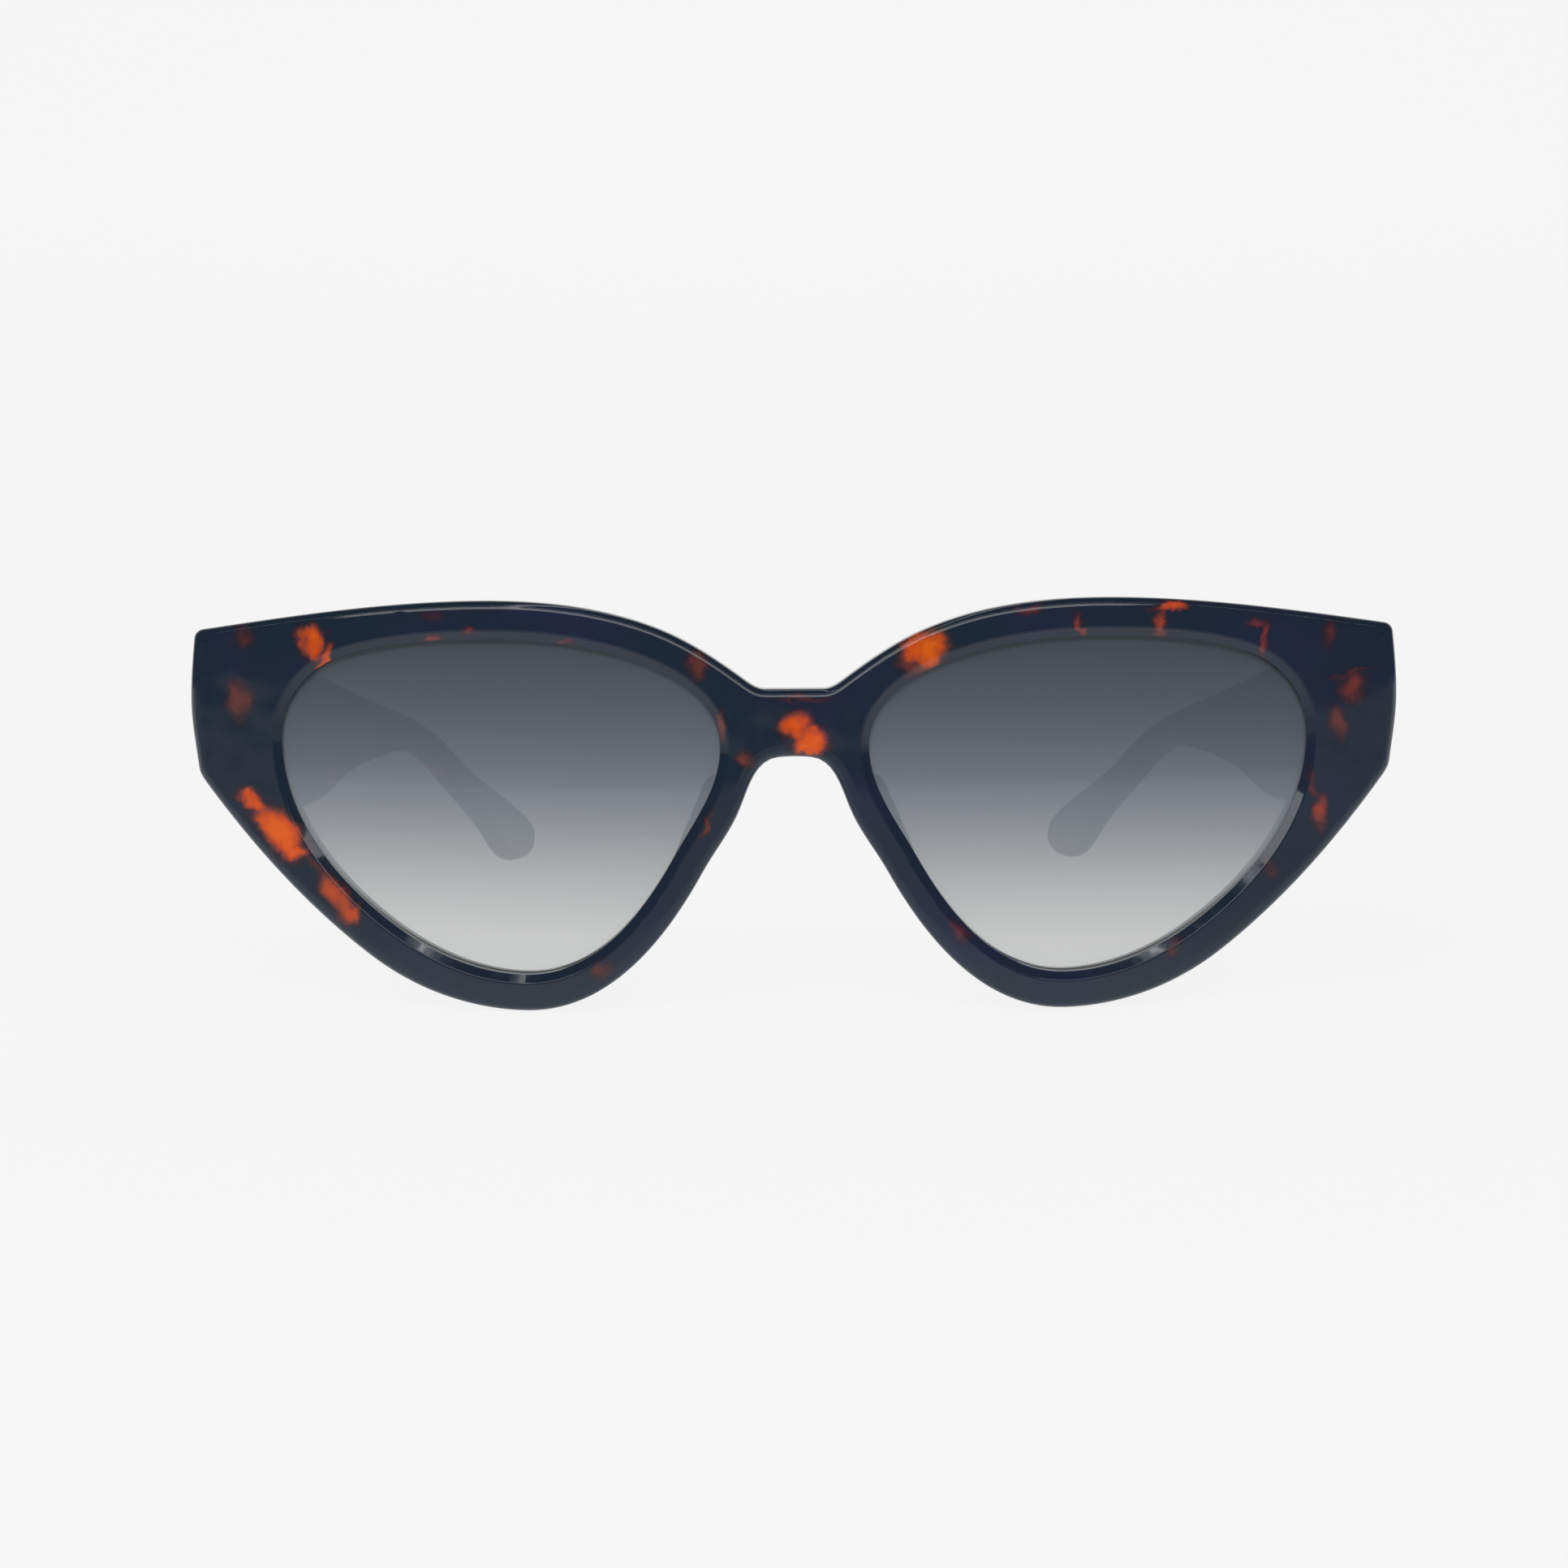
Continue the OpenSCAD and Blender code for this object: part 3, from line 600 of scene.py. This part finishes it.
for side, word in ((1, "left"), (-1, "right")):
    points = opening if side > 0 else [Vector((-p.x, p.y)) for p in reversed(opening)]
    bpy.ops.object.select_all(action="DESELECT")
    bpy.ops.mesh.primitive_circle_add(vertices=len(points), radius=1)
    lens = bpy.context.object
    lens.name = "lens_" + word + "_shell"
    lens.data.attributes.new("mark", "INT", "POINT").data.foreach_set(
        "value", list(range(len(points))))
    bpy.ops.object.mode_set(mode="EDIT")
    bpy.ops.mesh.select_all(action="SELECT")
    for count, (ring, off) in enumerate(lens_rings(points, side)):
        if count:
            bpy.ops.mesh.extrude_edges_move()
        bm = bmesh.from_edit_mesh(lens.data)
        mark = bm.verts.layers.int["mark"]
        for v in bm.verts:
            if v.select:
                x, z = ring[v[mark]]
                v.co = (x, face_y + lens_depth(abs(x), z, off), z)
        bmesh.update_edit_mesh(lens.data)
    # The two small rings in the middle are closed with a fan each.
    bpy.ops.mesh.select_mode(type="EDGE")
    bpy.ops.mesh.select_all(action="DESELECT")
    bm = bmesh.from_edit_mesh(lens.data)
    for e in bm.edges:
        e.select = e.is_boundary
    bmesh.update_edit_mesh(lens.data)
    bpy.ops.mesh.edge_face_add()
    bpy.ops.mesh.poke()
    bm = bmesh.from_edit_mesh(lens.data)
    for v in bm.verts:
        if len(v.link_edges) > 20:
            middle = face_y + lens_depth(abs(v.co.x), v.co.z, 0)
            off = LENS_T / 2 if v.co.y < middle else -LENS_T / 2
            v.co.y = face_y + lens_depth(abs(v.co.x), v.co.z, off)
    bmesh.update_edit_mesh(lens.data)
    bpy.ops.mesh.select_all(action="SELECT")
    bpy.ops.mesh.normals_make_consistent(inside=False)
    bpy.ops.object.mode_set(mode="OBJECT")
    lens.data.materials.append(tint_skin)
    lens.data.materials.append(clear_skin)
    for face in lens.data.polygons:
        x, y, z = face.center
        face.material_index = 0 if (face.normal.y < -0.3
                                    and y < face_y + lens_depth(abs(x), z, 0)) else 1
    lens.data.transform(Matrix.Scale(MM, 4))
    bpy.ops.object.shade_smooth_by_angle(angle=math.radians(30))
    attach(lens, "front")
    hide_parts("lens_" + word)

# ---- Nose pads ----
# Fixed pads of the same acetate, bonded to the back of the front and then filed to a soft
# wedge, so that every edge is rounded.
PAD_GRAIN = 0.3                    # mm, the finest step that the filing leaves
for word in ("left", "right"):
    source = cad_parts["nose_pad_" + word]
    pad = source.copy()
    pad.data = source.data.copy()
    pad.name = "nose_pad_" + word + "_filed"
    bpy.context.collection.objects.link(pad)
    pad.parent = None
    pad.hide_render = False
    bpy.ops.object.select_all(action="DESELECT")
    pad.select_set(True)
    bpy.context.view_layer.objects.active = pad
    bpy.ops.object.mode_set(mode="EDIT")
    bpy.ops.mesh.select_all(action="SELECT")
    bpy.ops.mesh.remove_doubles(threshold=0.000005)
    bpy.ops.object.mode_set(mode="OBJECT")
    skin = pad.modifiers.new("skin", "REMESH")
    skin.mode = "VOXEL"
    skin.voxel_size = PAD_GRAIN * MM
    file = pad.modifiers.new("file", "SMOOTH")
    file.factor = 0.6
    file.iterations = 14
    apply_all(pad)
    bpy.ops.object.shade_smooth()
    pad.data.materials.clear()
    pad.data.materials.append(front_acetate)
    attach(pad, "front")
    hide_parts("nose_pad_" + word)

# ---- Temples ----
# Cut from the same sheet over a steel core, rounded all round and bowed in towards the ear.
# The end that meets the front is cut square, and the hinge plate stands proud of the inner face.
TEMPLE_LEN, TEMPLE_H, NECK_H, BEND_AT, CREST = 150, 15, 5.1, 94, 1.1
PADDLE_DROP, TIP_H, BELLY, TEMPLE_T, TIP_T, BOW_IN = 8.7, 8.8, 3.2, 4.2, 3.2, 22.5
BUTT_GAP, TEMPLE_STRIP = 0.1, 3
TEMPLE_OUT = END_X - 2.3
TEMPLE_TOP = END_TOP - 0.8
lowest = Vector((TEMPLE_LEN - 7, -PADDLE_DROP - TIP_H))
TILT = math.asin(TEMPLE_TOP / lowest.length) - math.atan2(-lowest.y, lowest.x)
ARCH_X = 0.63 * BEND_AT
tilt_deg = math.degrees(TILT)
temple_line = curved([
    (TEMPLE_H * math.sin(TILT), -TEMPLE_H * math.cos(TILT), -20),
    (29, -TEMPLE_H - BELLY, 0),
    (BEND_AT - 43, CREST - NECK_H - 9.3, 23),
    (BEND_AT - 22, CREST - NECK_H - 3.2, 13),
    (BEND_AT, CREST - NECK_H, -2),
    (BEND_AT + 13, CREST - NECK_H - 2.4, -17),
    (lowest.x - 15, lowest.y + 4.6, -20.5),
    (lowest.x, lowest.y, tilt_deg),
    (TEMPLE_LEN, lowest.y + 0.5 * TIP_H, 95),
    (TEMPLE_LEN - 7, -PADDLE_DROP, 166),
    (BEND_AT + 27, -0.52 * PADDLE_DROP, 169),
    (BEND_AT + 2, CREST - 0.5, 175),
    (ARCH_X, CREST, 180),
    (0, 0, 180 + 2 * math.degrees(math.atan(CREST / ARCH_X)))], closed=False, step=1.5)
temple_line += [temple_line[-1].lerp(temple_line[0], k / 10) for k in range(1, 10)]


def bow_radius(sag):
    """Radius of an arc that leaves the hinge square and bows in by sag at the tip."""
    return (TEMPLE_LEN ** 2 + sag ** 2) / (2 * sag)


OUTER_BOW = bow_radius(BOW_IN)
INNER_BOW = bow_radius(BOW_IN - TEMPLE_T + TIP_T + 0.001)


def eased(amount):
    """Insets are smaller along the cut end, where the temple meets the front."""
    def reach(i):
        painted_shade_in_reflection = temple_line[i].x * math.cos(TILT) + temple_line[i].y * math.sin(TILT)
        return amount * (0.3 if painted_shade_in_reflection < 0.6 else 1)
    return reach


OUTER_ROUND = [(-2.0, 0), (-1.7, 0), (-1.22, 0.1), (-0.76, 0.33), (-0.36, 0.7), (-0.1, 1.15),
               (0, 1.7)]
INNER_ROUND = [(0, 1.4), (-0.05, 1.0), (-0.2, 0.62), (-0.47, 0.3), (-0.83, 0.08), (-1.25, 0),
               (-1.55, 0)]
temple_rings = ([(eased(out), depth) for out, depth in OUTER_ROUND]
                + [(eased(out), TEMPLE_T - depth) for out, depth in INNER_ROUND])
temple_acetate = acetate("tortoise_acetate_temple")
temple = drawn_wall("temple", temple_line, temple_rings)
fill_rim(temple, 0)
fill_rim(temple, TEMPLE_T)
cut_in_strips(temple, TEMPLE_STRIP, TEMPLE_LEN - TEMPLE_STRIP, TEMPLE_STRIP)
for v in temple.data.vertices:
    along = v.co.x * math.cos(TILT) + v.co.z * math.sin(TILT)
    along = max(along, BUTT_GAP)
    up = v.co.z * math.cos(TILT) - v.co.x * math.sin(TILT)
    outer = TEMPLE_OUT - OUTER_BOW + math.sqrt(OUTER_BOW ** 2 - along ** 2)
    inner = TEMPLE_OUT - TEMPLE_T - INNER_BOW + math.sqrt(INNER_BOW ** 2 - along ** 2)
    v.co = (outer + (inner - outer) * v.co.y / TEMPLE_T, face_y + BUTT_Y + along,
            TEMPLE_TOP + up)
temple.data.transform(Matrix.Scale(MM, 4))
for side, word in ((1, "left"), (-1, "right")):
    arm = temple.copy()
    arm.data = temple.data.copy()
    arm.name = "temple_" + word + "_rounded"
    bpy.context.collection.objects.link(arm)
    arm.data.transform(Matrix.Scale(side, 4, (1, 0, 0)))
    bpy.ops.object.select_all(action="DESELECT")
    arm.select_set(True)
    bpy.context.view_layer.objects.active = arm
    bpy.ops.object.mode_set(mode="EDIT")
    bpy.ops.mesh.select_all(action="SELECT")
    bpy.ops.mesh.normals_make_consistent(inside=False)
    bpy.ops.object.mode_set(mode="OBJECT")
    polish(arm, SHARP)
    arm.data.materials.clear()
    arm.data.materials.append(temple_acetate)
    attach(arm, "temple_" + word)
    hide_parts("temple_" + word)
bpy.data.objects.remove(temple)

# ---- Hinges, screws and core wires ----
# Stamped hinges with turned screws, and drawn wires sealed in the temples. Their CAD shapes
# are the finished ones, so they only get their metals.


def metal(name, colour, worn, rough):
    """A plain polished metal with fine turning marks and duller worn places."""
    made, tree = new_material(name)
    place = add(tree, "ShaderNodeTexCoord").outputs["Object"]
    marks = add(tree, "ShaderNodeTexNoise", [("Vector", place), ("Scale", 1 / (0.4 * MM)),
                                             ("Detail", 4.0)])
    shade = add(tree, "ShaderNodeValToRGB", [("Fac", marks.outputs["Fac"])],
                steps=[(0.35, paint(colour)), (0.7, paint(worn))])
    dull = add(tree, "ShaderNodeMapRange", [("Value", marks.outputs["Fac"]),
                                            ("To Min", rough), ("To Max", rough + 0.2)])
    fine = add(tree, "ShaderNodeBump", [("Height", marks.outputs["Fac"]), ("Strength", 0.2),
                                        ("Distance", 0.02 * MM)])
    skin = add(tree, "ShaderNodeBsdfPrincipled",
               [("Base Color", shade.outputs["Color"]), ("Metallic", 1.0),
                ("Roughness", dull.outputs[0]), ("Normal", fine.outputs[0])])
    add(tree, "ShaderNodeOutputMaterial", [("Surface", skin.outputs[0])])
    return made


nickel = metal("stamped_nickel_silver", "#c9c3b4", "#a9a294", 0.22)
steel = metal("turned_stainless_steel", "#d4d6d8", "#b3b5b8", 0.15)
wire = metal("drawn_steel_wire", "#b9bcbf", "#8f9295", 0.3)
for word in ("left", "right"):
    for node_name, finish in (("front_hinge_", nickel), ("temple_hinge_", nickel),
                              ("hinge_screw_", steel), ("core_wire_", wire)):
        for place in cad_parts[node_name + word].material_slots:
            place.material = finish
